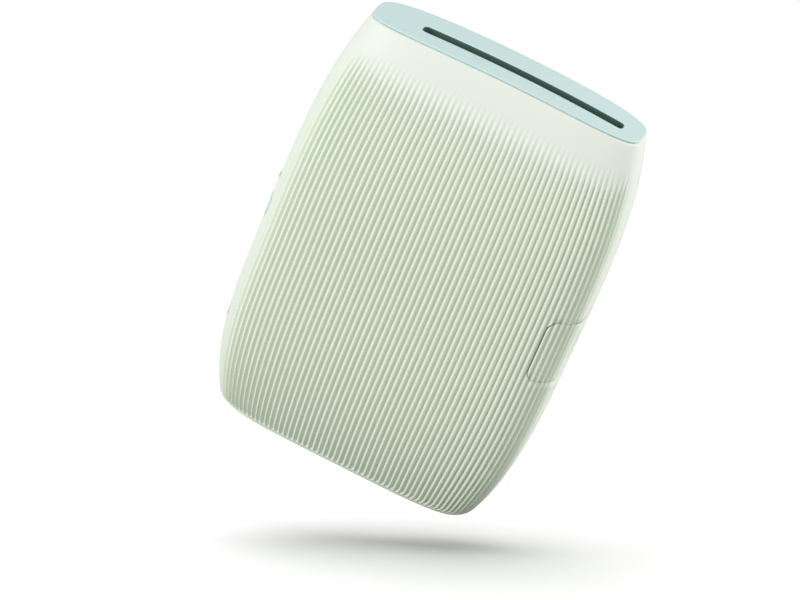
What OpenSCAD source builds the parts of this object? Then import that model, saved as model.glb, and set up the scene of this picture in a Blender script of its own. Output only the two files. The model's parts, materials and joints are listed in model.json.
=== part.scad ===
// Compact pocket photo printer for 54 x 86 mm instant film, standing upright.
// Millimetres. The origin is the middle of the base, +Z is up and the ribbed front faces -Y.
// The body is a barrel: superellipse sections that swell to the waist and narrow to both ends.

/* [Body] */
// Width at the waist
body_w = 90; // [88:0.5:100]
// Depth at the waist
body_d = 36; // [35:0.5:44]
// Height to the crown of the cap
body_h = 125; // [124:0.5:140]
// Height of the waist, where the body is widest
waist_z = 57.4; // [54:0.2:64]
// Width under the cap
top_w = 77.6; // [76:0.2:86]
// Depth under the cap
top_d = 20.8; // [20.2:0.2:30]
// Width at the base, before its edge is rounded
base_w = 73.8; // [70:0.2:86]
// Depth at the base, before its edge is rounded
base_d = 20.4; // [19:0.2:30]
// How late the barrel curve turns in, going away from the waist
barrel_power = 3.6; // [3.5:0.1:5]
// How square a section is: 2 is an ellipse
section_power = 4; // [3.9:0.1:5]
// Rounding of the base edge at the two narrow sides
base_round_w = 5; // [3:0.25:7]
// Rounding of the base edge at the front and back
base_round_d = 3.5; // [2:0.25:4.5]
// How far the arched top drops at its two ends
top_arch = 1.5; // [0:0.1:2]
// Thickness of the shells
wall = 1.8; // [1.4:0.1:2]
// Place of the plane where the front and rear shells meet, behind the middle
split_y = 4; // [3.6:0.1:5]
// Gap at every seam that shows
seam = 0.2; // [0.1:0.05:0.3]

/* [Top cap and film slot] */
// Thickness of the cap
cap_t = 1.6; // [1.2:0.1:2]
// Height of the cap's rim that shows above the shells
cap_rim = 0.6; // [0.4:0.1:0.9]
// Length of the film slot
slot_l = 58; // [56:0.5:60]
// Width of the film slot
slot_w = 4; // [3:0.1:4]
// Corner radius of the film slot
slot_r = 1.2; // [0.5:0.1:1.4]
// Sideways offset of the film path from the middle
film_x = 3.9; // [3.4:0.1:4.4]
// Offset of the slot towards the front
slot_y = -1.3; // [-2:0.1:0]
// Wall of the chute under the slot
chute_t = 1.1; // [0.8:0.1:1.4]
// Radius of the two posts that the cap stands on
cap_post_r = 2; // [1.5:0.1:2.2]

/* [Base] */
// Thickness of the base cover
base_t = 2; // [1.6:0.1:2.4]
// Radius of the two legs between base cover and chassis
leg_r = 2.6; // [2.2:0.1:3]
// Place of the left leg
leg_left_x = -20; // [-22:0.5:-10]
// Place of the right leg
leg_right_x = 28; // [16:0.5:29]
// Place of the legs behind the middle
leg_y = 1; // [0:0.1:1.4]

/* [Screws] */
// Radius of the screw shanks
screw_r = 0.8; // [0.6:0.05:0.9]
// Radius of the screw heads
screw_head_r = 1.7; // [1.5:0.1:1.8]
// Thickness of the screw heads
screw_head_h = 0.9; // [0.6:0.1:1]
// Radius of the posts that take the housing screws
post_r = 2.2; // [1.8:0.1:2.3]
// Height of the lower post on the left
post_left_low_z = 22; // [21:0.5:23]
// Height of the upper post on the left
post_left_high_z = 82; // [81:0.5:84]
// Height of the lower post on the right
post_right_low_z = 28; // [24:0.5:36]
// Height of the upper post on the right
post_right_high_z = 92; // [84:0.5:98]

/* [Film chamber] */
// Width of the film cassette
pack_w = 61; // [60:0.1:61.6]
// Height of the film cassette
pack_h = 91.5; // [90:0.1:92]
// Depth of the film cassette
pack_d = 15.6; // [14.6:0.1:15.8]
// Clearance round the cassette
pack_gap = 0.3; // [0.1:0.05:0.4]
// Height of the chamber floor
chamber_z = 14; // [13.4:0.1:14.6]
// Place of the chamber's front face
chamber_y = -5; // [-5.2:0.1:-4.8]
// Thickness of the chassis walls
chassis_t = 1.3; // [1:0.1:1.5]
// Thickness of the light seal strips
seal_t = 0.5; // [0.3:0.1:0.7]

/* [Film door] */
// Place of the hinge axis across the width, left of the middle
hinge_x = -40.3; // [-40.8:0.1:-40]
// Place of the hinge axis behind the middle
hinge_y = 10.5; // [10:0.1:10.8]
// Radius of the hinge knuckles
knuckle_r = 2.2; // [1.9:0.1:2.3]
// Radius of the hinge pins
pin_r = 0.85; // [0.7:0.05:1]
// Radius of the seam round the hinge axis
hinge_seam_r = 5; // [4.8:0.1:5.2]
// Height of the lower edge of the door
door_z0 = 9; // [8.75:0.25:10]
// Height of the upper edge of the door
door_z1 = 109; // [108:0.25:110]
// Height of the middle of the lower hinge
hinge_low_z = 36; // [30:0.5:44]
// Height of the middle of the upper hinge
hinge_high_z = 80; // [70:0.5:81]
// Length of a door knuckle
knuckle_l = 7; // [5:0.5:8]
// Length of each case knuckle beside it
case_knuckle_l = 3; // [2:0.5:4]
// Place of the film counter window across the door
window_x = 22; // [18:0.5:26]
// Height of the middle of the window
window_z = 62; // [50:0.5:74]
// Width of the window
window_w = 8; // [6:0.5:10]
// Height of the window
window_h = 20; // [14:0.5:24]
// Distance of each leaf spring from the middle of the film
leaf_x = 12; // [10:0.5:13]
// Height of the middle of the leaf springs
leaf_z = 58; // [52:0.5:64]
// Half the length of a leaf spring
leaf_half = 20; // [14:0.5:24]
// Width of a leaf spring
leaf_w = 6; // [4:0.5:7]
// Thickness of a leaf spring
leaf_t = 0.4; // [0.2:0.05:0.5]
// How far the crest of a leaf spring stands off its seats
leaf_rise = 2.7; // [2:0.1:3]

/* [Door latch] */
// Lower edge of the latch panel
latch_z0 = 52.2; // [50:0.2:54]
// Height of the latch panel
latch_h = 18.8; // [17:0.2:20]
// Place of its front edge, on the ribbed face
latch_x = 37.3; // [36.9:0.1:37.7]
// Corner radius of the panel
latch_r = 3; // [1:0.25:4]
// Length of the fingernail slot in it
nail_l = 7.8; // [6:0.2:9]
// Width of the fingernail slot
nail_w = 1.4; // [1:0.1:2]
// Depth of the fingernail slot
nail_depth = 1.1; // [0.6:0.1:1.2]
// Place of the fingernail slot in front of the middle
nail_y = -2; // [-2.4:0.1:-1]
// Radius of the latch pin
latch_pin_r = 0.6; // [0.4:0.05:0.7]
// Thickness of the latch arm
arm_t = 1; // [0.8:0.1:1.2]
// Height of the latch arm
arm_h = 6.8; // [5:0.2:8]

/* [Rollers and gears] */
// Height of the roller axes over the chassis
roller_rise = 4.6; // [4.4:0.1:4.8]
// Place of the film path between the rollers
nip_y = -2.6; // [-2.8:0.1:-2.2]
// Gap between the rollers
nip_gap = 0.3; // [0.2:0.05:0.4]
// Radius of the roller shafts
shaft_r = 1.5; // [1.2:0.1:1.6]
// Outer radius of the shaft bushes
bush_r = 2.5; // [2.2:0.1:2.6]
// Running clearance on a radius
run_gap = 0.05; // [0.02:0.01:0.08]
// Tooth module of every gear
gear_m = 0.5; // [0.47:0.01:0.51]
// Extra centre distance of each pair of gears
mesh_gap = 0.08; // [0.04:0.01:0.12]
// Width of one gear layer
gear_w = 1.8; // [1.5:0.1:1.9]
// Teeth of each roller gear
roller_teeth = 15; // [14:1:15]
// Teeth of the small wheel of gear B, which drives the rollers
gear_b_small = 12; // [11:1:13]
// Teeth of the big wheels of gears A and B
big_teeth = 30; // [29:1:31]
// Teeth of the motor pinion and of the small wheel of gear A
pinion_teeth = 10; // [9:1:11]
// Radius of the gear axles
axle_r = 0.75; // [0.6:0.05:0.85]
// Thickness of the plate that carries the gears
gear_plate_t = 1.2; // [1:0.1:1.4]
// Radius of the motor can
motor_r = 3.2; // [2.6:0.1:3.4]
// Length of the motor can
motor_l = 20; // [15:0.5:21]
// Radius of the motor shaft
motor_shaft_r = 0.5; // [0.4:0.05:0.6]

/* [Film claw] */
// Width of the claw bar
claw_w = 3; // [2.8:0.1:3.2]
// Thickness of the claw bar
claw_t = 1.4; // [1.2:0.1:1.5]
// Length of the claw bar
claw_l = 44.5; // [40:0.5:48]
// Travel of the claw
claw_travel = 6; // [4:0.5:7]
// How far the claw reaches into the chamber
claw_tip = 0.7; // [0.4:0.1:0.9]
// Length of the claw spring
claw_spring_l = 15.4; // [13:0.2:17]

/* [Exposure head] */
// Length of the head
head_l = 58; // [56:0.5:59]
// Depth of the head
head_d = 4.6; // [4:0.1:4.9]
// Width of the rod lens
lens_w = 1.7; // [1.3:0.1:2]

/* [Controls on the left side] */
// Height of the power button
power_z = 62; // [58:0.5:66]
// Radius of the power button
power_r = 3.2; // [2.5:0.1:3.4]
// Travel of the power button
power_travel = 0.6; // [0.3:0.1:0.7]
// Height of the reset pinhole
reset_z = 44; // [41:0.5:50]
// Radius of the reset pinhole
reset_r = 0.9; // [0.7:0.05:1.2]
// Travel of the reset plunger
reset_travel = 0.4; // [0.2:0.1:0.6]
// Height of the status light
light_z = 71; // [69:0.5:76]
// Radius of the status light
light_r = 0.9; // [0.6:0.1:1.2]
// Height of the charging socket
usb_z = 31; // [30:0.5:35]
// Width of the charging socket, along the height of the body
usb_w = 7.6; // [7:0.1:9]
// Thickness of the charging socket
usb_t = 2.8; // [2.4:0.1:3.2]

/* [Main board and battery] */
// Thickness of the board
board_t = 1.2; // [0.8:0.1:1.4]
// Place of the front face of the board
board_y = -10; // [-10.2:0.1:-9.8]
// Left edge of the board
board_x0 = -38.2; // [-38.4:0.1:-38]
// Right edge of the board
board_x1 = -2.5; // [-4:0.1:-2.5]
// Lower edge of the board
board_z0 = 18.6; // [18.2:0.1:18.8]
// Height of the board
board_h = 64.4; // [64.2:0.1:65]
// Width of the battery
battery_w = 30; // [20:0.5:30]
// Height of the battery
battery_h = 42; // [30:0.5:46]
// Thickness of the battery
battery_t = 5.6; // [4:0.1:5.7]

/* [Hidden] */
$fn = 48;
// Points round one section of the body, and the levels of its sections
ring_n = 56;
level_share = [0.064, 0.11, 0.17, 0.24, 0.34, 0.46, 0.58, 0.67, 0.75, 0.81, 0.86, 0.895, 0.93, 0.957];
rise = concat(
    [for (k = [0 : 6]) base_round_w * (1 - cos(15 * k))],
    [for (share = level_share) share * body_h]
);

// Colours
white = [0.88, 0.93, 0.87];
mint = [0.78, 0.9, 0.88];
dark = [0.13, 0.14, 0.15];
steel = [0.7, 0.71, 0.73];
brass = [0.78, 0.64, 0.36];
nylon = [0.9, 0.88, 0.8];
rubber = [0.2, 0.2, 0.21];
amber = [0.9, 0.6, 0.3];
green = [0.1, 0.35, 0.25];
red = [0.75, 0.2, 0.15];

// Clearances: between pieces inside, at a screw shank, under a bonded piece,
// and the overlap that fuses two shapes of one piece
inner_gap = 0.4;
screw_gap = 0.05;
seat_gap = 0.02;
fuse = 0.1;

// Chamber and chassis
chamber_x0 = film_x - pack_w / 2 - pack_gap;
chamber_x1 = film_x + pack_w / 2 + pack_gap;
chamber_y1 = chamber_y + pack_d + pack_gap;
chamber_z1 = chamber_z + pack_h + 2 * pack_gap;
frame_x0 = chamber_x0 - chassis_t;
frame_x1 = chamber_x1 + chassis_t;
frame_y0 = chamber_y - chassis_t;
frame_z0 = chamber_z - chassis_t;
frame_z1 = chamber_z1 + chassis_t;
// The film leaves the chamber through a gap along the front of its roof
exit_w = 3.8;
exit_drop = 1.2;

// Screws and what they go into
leg_xs = [leg_left_x, leg_right_x];
cover_bore_z = 1.3;
base_screw_l = 3.7;
boss_r = post_r + 0.2;
rear_screw_z = door_z0 - seam / 2 - boss_r - 0.1;
rear_screw_l = 8.4;
rear_head_y = 11.2;
housing_screw_l = 5.6;
post_left_x = frame_x0 - post_r - 1.4;
post_right_x = frame_x1 + post_r + 0.8;
left_posts = [[post_left_x, post_left_low_z], [post_left_x, post_left_high_z]];
right_posts = [[post_right_x, post_right_low_z], [post_right_x, post_right_high_z]];
posts = concat(left_posts, right_posts);

// Rollers: the gears set the distance between the shafts
roller_z = frame_z1 + roller_rise;
roller_cd = gear_m * roller_teeth + mesh_gap;
roller_r = (roller_cd - nip_gap) / 2;
drive_y = nip_y - roller_cd / 2;
pressure_y = nip_y + roller_cd / 2;
bush_flange_r = bush_r + 0.6;
bush_flange_t = 0.6;
shaft_end = 1.2;
plate_top = roller_z + 5.4;
plate_front = drive_y - bush_r - 0.7;
tie_y = pressure_y + roller_r + 0.9;
tie_t = 1.2;
tie_h = 5;

// Slot and the chute under it
slot_x0 = film_x - slot_l / 2;
slot_x1 = film_x + slot_l / 2;
slot_y0 = slot_y - slot_w / 2;
slot_y1 = slot_y + slot_w / 2;
lip_h = 1.7;
lip_gap = 0.6;
chute_z0 = plate_top + lip_h + 0.2;
cap_post_gap = 0.2;
cap_post_xs = [film_x - 24, film_x + 24];
cap_post_y = tie_y - 0.4;

// Gear layers step away from the gear plate to the left
gear_plate_x = frame_x0 - gear_plate_t;
plate_gap = 0.4;
layer_gap = 0.3;
layer_a = gear_plate_x - plate_gap - gear_w;
layer_b = layer_a - layer_gap - gear_w;
layer_c = layer_b - layer_gap - gear_w;
axle_end = 0.8;
small_cd = gear_m * (roller_teeth + gear_b_small) / 2 + mesh_gap;
big_cd = gear_m * (pinion_teeth + big_teeth) / 2 + mesh_gap;
// Directions from one axis to the next, seen from the left, from +Y towards +Z
roller_dir = 0;
dir_b = -90;
dir_a = -96;
gear_b_at = [pressure_y, roller_z] + small_cd * [cos(dir_b), sin(dir_b)];
gear_a_at = gear_b_at + big_cd * [cos(dir_a), sin(dir_a)];
// The motor lies just in front of the chassis
motor_gap = 0.1;
dir_m = -acos((frame_y0 - motor_r - motor_gap - gear_a_at[0]) / big_cd);
motor_at = gear_a_at + big_cd * [cos(dir_m), sin(dir_m)];
motor_boss_r = 1.5;

// Film door
hinge_zs = [hinge_low_z, hinge_high_z];
knuckle_gap = 0.3;
knuckle_arm = 9;
case_knuckle_zs = [for (z = hinge_zs, s = [-1, 1]) z + s * (knuckle_l + case_knuckle_l + 2 * seam) / 2];
leaf_xs = [film_x - leaf_x, film_x + leaf_x];
leaf_top_y = chamber_y1 - 0.6;
leaf_seat_y = leaf_top_y + leaf_rise;
leaf_seat_l = 6;
window_r = 2;
window_gap = 0.05;

// Latch
latch_mid = latch_z0 + latch_h / 2;
latch_gap = 0.15;
latch_edge_gap = 0.3;
latch_knuckle_r = latch_pin_r + 0.5;
latch_ear_r = latch_knuckle_r + 0.5;
latch_pin_x = latch_x + 1;
latch_pin_y = -surface_y(latch_pin_x, latch_mid) + 3.1;
latch_knuckle_in = 1.8;
latch_ear_l = 3;
latch_pin_z0 = latch_z0 - latch_ear_l - latch_gap;
latch_pin_z1 = latch_z0 + latch_h + latch_ear_l + latch_gap;
latch_spring_l = 3.6;
catch_t = 2;
catch_gap = 0.4;
catch_x = frame_x1 + 0.5 + catch_t;
nose_x = catch_x + 0.45;
nose_y = 7.2;
nose_t = 1.2;
catch_y = [nose_y - catch_gap - 1.8, nose_y - catch_gap];
arm_x = nose_x + 0.75;
arm_z0 = latch_mid - arm_h / 2;
arm_root_y = -3.2;
cheek_t = 1.5;
cheek_gap = 0.9;
cheek_z0 = arm_z0 - cheek_gap - cheek_t;
cheek_z1 = arm_z0 + arm_h + cheek_gap;

// Film claw
claw_y = -2.3;
claw_x1 = frame_x0 - 0.3;
claw_x0 = claw_x1 - claw_t;
claw_z0 = chamber_z + 1.5;
claw_z1 = claw_z0 + claw_l;
claw_tip_h = 2.5;
claw_tip_w = 1.4;
claw_tab = 1.6;
claw_slot_gap = 0.1;
claw_screw_r = 1;
claw_head_r = 1.8;
claw_head_gap = 0.3;
claw_screw_zs = [claw_z0 + 14.5, claw_z0 + 34.5];
claw_post_z = claw_z1 + claw_spring_l;
claw_spring_x = claw_x0 - 0.1;
claw_spring_r = 1.2;
claw_wire = 0.4;

// Exposure head
head_gap = 0.2;
head_z0 = motor_at[1] + motor_r + 0.6;
head_z1 = frame_z1;
lens_inset = 1.5;
lens_gap = 0.1;
lens_z1 = head_z1 - 0.3;
lens_y0 = frame_y0 - 1.4;

// Main board: its parts are listed by left edge, lower edge, width and height
board_z1 = board_z0 + board_h;
board_back = board_y + board_t;
board_notch = 0.4;
board_screw_l = 4;
standoff_r = 1.8;
board_screw_at = [[-24, 24], [-8, 24], [-26, 72], [-13, 78]];
chip_t = 1.2;
chips = [[-22, 46, 10, 10], [-20, 60, 12, 8], [-34, 34, 6, 6], [-33, 50, 4, 8]];
plug_t = 2.6;
lead_y = board_y - 1.4;
lead_z = 40;
lead_r = 0.5;
lead_step = 0.9;
motor_lead_x = -22.5;
flex_x = -5;
flex_w = 3.8;
flex_t = 0.2;
battery_gap = 0.9;
battery_r = 1.5;
battery_y1 = frame_y0 - battery_gap;
battery_x0 = 3;
battery_z0 = 24;

// Controls
control_y = board_back + 1.9;
switch_w = 3.2;
switch_l = 3.4;
switch_t = 3.6;
switch_tip = 1.1;
press_gap = 0.05;
button_gap = 0.15;
button_flange = 0.5;
button_flange_t = 0.6;
usb_y = board_back + usb_t / 2;
usb_wall = 0.35;
usb_mouth = -surface_x(usb_y, usb_z) + 0.6;
side_hole_x = board_x0 - 2;

// ---- outer form ----
function away(u) = u > waist_z ? (u - waist_z) / (body_h - waist_z) : (waist_z - u) / waist_z;
function edge_in(u, r) = let (t = max(0, r - u) / r) r * (1 - sqrt(1 - t * t));
function half_w(u) = body_w / 2 - (body_w - (u > waist_z ? top_w : base_w)) / 2 * pow(away(u), barrel_power)
    - edge_in(u, base_round_w);
function half_d(u) = body_d / 2 - (body_d - (u > waist_z ? top_d : base_d)) / 2 * pow(away(u), barrel_power)
    - edge_in(u, base_round_d);
function arch(x, u) = top_arch * pow(x / (top_w / 2), 2) * u / body_h;
function squared(c) = sign(c) * pow(abs(c), 2 / section_power);
// Depth of the outer surface at place x and height u
function surface_y(x, u) = half_d(u) * pow(1 - pow(abs(x) / half_w(u), section_power), 1 / section_power);
// Half width of the outer surface at place y and height u
function surface_x(y, u) = half_w(u) * pow(1 - pow(abs(y) / half_d(u), section_power), 1 / section_power);
// Half width of the inner surface of the shell there
function inner_x(y, u) =
    (half_w(u) - wall) * pow(1 - pow(abs(y) / (half_d(u) - wall), section_power), 1 / section_power);

// A solid barrel, inset all round, between two levels
module barrel(inset, u0, u1) {
    us = concat([u0], [for (u = rise) if (u > u0 + 0.1 && u < u1 - 0.1) u], [u1]);
    last = (len(us) - 1) * ring_n;
    points = [
        for (u = us, i = [0 : ring_n - 1])
            let (t = 360 * i / ring_n, x = (half_w(u) - inset) * squared(cos(t)))
                [x, (half_d(u) - inset) * squared(sin(t)), u - arch(x, u)]
    ];
    sides = [
        for (k = [0 : len(us) - 2], i = [0 : ring_n - 1], half = [0, 1])
            let (a = k * ring_n + i, b = k * ring_n + (i + 1) % ring_n)
                half == 0 ? [a, a + ring_n, b] : [b, a + ring_n, b + ring_n]
    ];
    floor_strips = [
        for (i = [0 : ring_n / 2 - 1])
            i == 0 ? [0, 1, ring_n - 1]
            : i == ring_n / 2 - 1 ? [i, i + 1, ring_n - i]
            : [i, i + 1, ring_n - i - 1, ring_n - i]
    ];
    roof_strips = [for (f = floor_strips) [for (j = [len(f) - 1 : -1 : 0]) last + f[j]]];
    polyhedron(points, concat(sides, floor_strips, roof_strips), convexity = 4);
}
// The shell of the body between two levels, open at both ends
module skin(u0, u1) {
    difference() {
        barrel(0, u0, u1);
        barrel(wall, u0 - 0.5, u1 + 0.5);
    }
}

// ---- helpers ----
module block(x, y, z) { translate([x[0], y[0], z[0]]) cube([x[1] - x[0], y[1] - y[0], z[1] - z[0]]); }
module rod_x(r, x, y, z) { translate([x[0], y, z]) rotate([0, 90, 0]) cylinder(r = r, h = x[1] - x[0]); }
module rod_y(r, x, y, z) { translate([x, y[0], z]) rotate([-90, 0, 0]) cylinder(r = r, h = y[1] - y[0]); }
module rod_z(r, x, y, z) { translate([x, y, z[0]]) cylinder(r = r, h = z[1] - z[0]); }
// A flat bar with rounded corners in its XZ outline
module rounded_xz(x, y, z, r) {
    block([x[0] + r, x[1] - r], y, z);
    block(x, y, [z[0] + r, z[1] - r]);
    for (cx = [x[0] + r, x[1] - r], cz = [z[0] + r, z[1] - r]) rod_y(r, cx, y, cz);
}
// A flat bar with rounded corners in its XY outline
module rounded_xy(x, y, z, r) {
    block([x[0] + r, x[1] - r], y, z);
    block(x, [y[0] + r, y[1] - r], z);
    for (cx = [x[0] + r, x[1] - r], cy = [y[0] + r, y[1] - r]) rod_z(r, cx, cy, z);
}

// ---- gears ----
function inv(rb, r) = let (t = sqrt(max(0, pow(r / rb, 2) - 1))) t * 180 / PI - atan(t);
// Outline of a spur gear with involute flanks, thinned for backlash
module gear_outline(teeth, phase) {
    r = gear_m * teeth / 2;
    rb = r * cos(20);
    tip = r + 0.85 * gear_m;
    root = r - 1.15 * gear_m;
    low = max(rb, root);
    half_pitch = 80 / teeth + inv(rb, r);
    flank = [for (k = [0 : 3]) low + (tip - low) * k / 3];
    polygon([
        for (i = [0 : teeth - 1])
            let (c = phase + 360 * i / teeth)
                each concat(
                    [root * [cos(c - half_pitch), sin(c - half_pitch)]],
                    [for (f = flank) let (a = c - half_pitch + inv(rb, f)) f * [cos(a), sin(a)]],
                    [for (k = [3 : -1 : 0]) let (f = flank[k], a = c + half_pitch - inv(rb, f)) f * [cos(a), sin(a)]],
                    [root * [cos(c + half_pitch), sin(c + half_pitch)]]
                )
    ]);
}
// Phase of the second gear of a pair, seen along dir from the first, so that the teeth interlock
function mesh_phase(n1, phase1, n2, dir) = dir + 180 - (180 + n1 * (phase1 - dir)) / n2;
module gear_at(at, x, teeth, phase) {
    translate([x, at[0], at[1]]) rotate([90, 0, 90]) linear_extrude(gear_w) gear_outline(teeth, phase);
}
drive_phase = 0;
pressure_phase = mesh_phase(roller_teeth, drive_phase, roller_teeth, roller_dir);
gear_b_phase = mesh_phase(roller_teeth, pressure_phase, gear_b_small, dir_b);
gear_b_big_phase = 0;
gear_a_phase = mesh_phase(big_teeth, gear_b_big_phase, pinion_teeth, dir_a);
gear_a_big_phase = 0;
pinion_phase = mesh_phase(big_teeth, gear_a_big_phase, pinion_teeth, dir_m);

// ---- housings ----
// Room of the film door in the rear shell: a seam round the hinge axis and straight seams on the other sides
module door_room(grow) {
    z = [door_z0 - grow, door_z1 + grow];
    difference() {
        union() {
            block([hinge_x, body_w], [hinge_y, body_d], z);
            block([hinge_x + hinge_seam_r - fuse - grow, body_w], [split_y + seam / 2 - grow, body_d], z);
        }
        rod_z(hinge_seam_r - grow, hinge_x, hinge_y, [door_z0 - 1, door_z1 + 1]);
    }
}
// Outline of the latch panel, through the right side of the front shell; grow widens it
module latch_room(grow, edge_grow) {
    rounded_xz(
        [latch_x - edge_grow, body_w], [-body_d, split_y + 1],
        [latch_z0 - grow, latch_z0 + latch_h + grow], latch_r
    );
}
// A screw along Y: its head sits at y_head and its shank runs towards dir
module screw_y(x, y_head, z, l, dir) {
    translate([x, y_head, z]) rotate([-90 * dir, 0, 0]) {
        cylinder(r = screw_r, h = l);
        translate([0, 0, -screw_head_h]) cylinder(r = screw_head_r, h = screw_head_h);
    }
}
module front_housing() {
    color(white) difference() {
        union() {
            difference() {
                skin(base_t + seam, body_h - cap_rim - seam);
                block([-body_w, body_w], [split_y - seam / 2, body_d], [-1, body_h + 1]);
                latch_room(0, 0);
            }
            for (p = posts)
                rod_y(post_r, p[0], [0.3 - surface_y(abs(p[0]) + post_r, p[1]), frame_y0], p[1]);
            rod_z(latch_ear_r, latch_pin_x, latch_pin_y, [latch_pin_z0, latch_z0 - latch_gap]);
            rod_z(latch_ear_r, latch_pin_x, latch_pin_y, [latch_z0 + latch_h + latch_gap, latch_pin_z1]);
        }
        for (p = posts) rod_y(screw_r + screw_gap, p[0], [chamber_y - housing_screw_l - 0.7, frame_y0 + 1], p[1]);
        rod_z(latch_pin_r, latch_pin_x, latch_pin_y, [latch_pin_z0 - 1, latch_pin_z1 + 1]);
        rod_x(power_r + button_gap, [-body_w, side_hole_x], control_y, power_z);
        rod_x(reset_r, [-body_w, side_hole_x], control_y, reset_z);
        rod_x(light_r + 0.02, [-body_w, side_hole_x], control_y, light_z);
        block(
            [-body_w, side_hole_x], [usb_y - usb_t / 2 - inner_gap, usb_y + usb_t / 2 + inner_gap],
            [usb_z - usb_w / 2 - inner_gap, usb_z + usb_w / 2 + inner_gap]
        );
    }
}
module rear_housing() {
    color(white) difference() {
        union() {
            difference() {
                skin(base_t + seam, body_h - cap_rim - seam);
                block([-body_w, body_w], [-body_d, split_y + seam / 2], [-1, body_h + 1]);
                door_room(seam / 2);
                for (z = hinge_zs)
                    rod_z(
                        hinge_seam_r + knuckle_gap, hinge_x, hinge_y,
                        [z - knuckle_l / 2 - seam, z + knuckle_l / 2 + seam]
                    );
            }
            for (z = case_knuckle_zs) {
                rod_z(knuckle_r, hinge_x, hinge_y, [z - case_knuckle_l / 2, z + case_knuckle_l / 2]);
                block(
                    [hinge_x - 3, hinge_x], [split_y + 2, hinge_y],
                    [z - case_knuckle_l / 2, z + case_knuckle_l / 2]
                );
            }
            for (x = leg_xs)
                rod_y(
                    boss_r, x,
                    [leg_y + leg_r + inner_gap, surface_y(abs(x) + boss_r, rear_screw_z - boss_r) - 0.4],
                    rear_screw_z
                );
        }
        for (z = case_knuckle_zs)
            rod_z(pin_r, hinge_x, hinge_y, [z - case_knuckle_l / 2 - 1, z + case_knuckle_l / 2 + 1]);
        for (x = leg_xs) {
            rod_y(screw_r + screw_gap, x, [0, body_d], rear_screw_z);
            rod_y(screw_head_r + 0.2, x, [rear_head_y - screw_head_h, body_d], rear_screw_z);
        }
    }
}
module base_cover() {
    color(mint) difference() {
        barrel(0, 0, base_t);
        for (x = leg_xs) {
            rod_z(screw_r + screw_gap, x, leg_y, [-1, base_t + 1]);
            rod_z(screw_head_r + 0.3, x, leg_y, [-1, cover_bore_z]);
        }
    }
}
module top_cap() {
    color(mint) difference() {
        union() {
            barrel(0, body_h - cap_rim, body_h);
            barrel(wall + inner_gap, body_h - cap_t, body_h - cap_rim + fuse);
            intersection() {
                union() {
                    rounded_xy(
                        [slot_x0 - chute_t, slot_x1 + chute_t], [slot_y0 - chute_t, slot_y1 + chute_t],
                        [chute_z0, body_h], slot_r + chute_t
                    );
                    for (x = cap_post_xs) rod_z(cap_post_r, x, cap_post_y, [plate_top + cap_post_gap, body_h]);
                }
                barrel(0.5, plate_top - 1, body_h - cap_t / 2);
            }
        }
        rounded_xy([slot_x0, slot_x1], [slot_y0, slot_y1], [chute_z0 - 1, body_h + 1], slot_r);
    }
}
module slot_seal() {
    x = [slot_x0 - chute_t, slot_x1 + chute_t];
    color(rubber) {
        block(x, [slot_y0 - chute_t, slot_y - lip_gap / 2], [chute_z0 - lip_h, chute_z0]);
        block(x, [slot_y + lip_gap / 2, slot_y1 + chute_t], [chute_z0 - lip_h, chute_z0]);
    }
}

// ---- chassis ----
module chassis() {
    color(dark) difference() {
        union() {
            intersection() {
                difference() {
                    block([frame_x0, frame_x1], [frame_y0, chamber_y1], [frame_z0, frame_z1]);
                    block([chamber_x0, chamber_x1], [chamber_y, body_d], [chamber_z, chamber_z1]);
                    block(
                        [chamber_x0, chamber_x1],
                        [frame_y0 - 1, chamber_y + exit_w],
                        [chamber_z1 - exit_drop, body_h]
                    );
                }
                barrel(wall + inner_gap, frame_z0 - 6, frame_z1 + 2);
            }
            for (p = left_posts)
                block([p[0] - post_r, frame_x0 + fuse], [frame_y0, chamber_y], [p[1] - post_r, p[1] + post_r]);
            for (p = right_posts)
                block([frame_x1 - fuse, p[0] + post_r], [frame_y0, chamber_y], [p[1] - post_r, p[1] + post_r]);
            for (x = leg_xs) rod_z(leg_r, x, leg_y, [base_t + seam, frame_z0 + fuse]);
            for (p = board_screw_at) rod_y(standoff_r, p[0], [board_back, frame_y0 + fuse], p[1]);
            block(
                [claw_x0 - claw_tab, frame_x0 + fuse], [claw_y - claw_w / 2, claw_y + claw_w / 2],
                [claw_post_z, claw_post_z + claw_tab]
            );
        }
        for (p = posts) rod_y(screw_r + screw_gap, p[0], [frame_y0 - 1, chamber_y + 1], p[1]);
        for (x = leg_xs) {
            rod_z(screw_r + screw_gap, x, leg_y, [0, cover_bore_z + base_screw_l + 0.2]);
            rod_y(screw_r + screw_gap, x, [leg_y - 1, body_d], rear_screw_z);
        }
        for (p = board_screw_at) rod_y(screw_r + screw_gap, p[0], [board_y, frame_y0 + chassis_t / 2], p[1]);
        for (z = claw_screw_zs) rod_x(claw_screw_r, [frame_x0 - 1, chamber_x0 + 1], claw_y, z);
        block(
            [frame_x0 - 1, chamber_x0 + 1],
            [claw_y - claw_w / 2 - inner_gap, claw_y - claw_w / 2 + claw_tip_w + inner_gap],
            [claw_z0 - inner_gap, claw_z0 + claw_tip_h + claw_travel + inner_gap]
        );
    }
}
module light_seal() {
    y = [chamber_y1, chamber_y1 + seal_t];
    color(rubber) {
        for (x = [[frame_x0, chamber_x0], [chamber_x1, frame_x1]]) block(x, y, [chamber_z + 10, chamber_z1 - 8]);
        block([chamber_x0 + 4, chamber_x1 - 4], y, [chamber_z1, frame_z1]);
    }
}
module housing_screws() { color(steel) for (p = posts) screw_y(p[0], chamber_y, p[1], housing_screw_l, -1); }
module base_screws() {
    color(steel) for (x = leg_xs) {
        rod_z(screw_r, x, leg_y, [cover_bore_z - fuse, cover_bore_z + base_screw_l]);
        rod_z(screw_head_r, x, leg_y, [cover_bore_z - screw_head_h, cover_bore_z]);
    }
}
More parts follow.
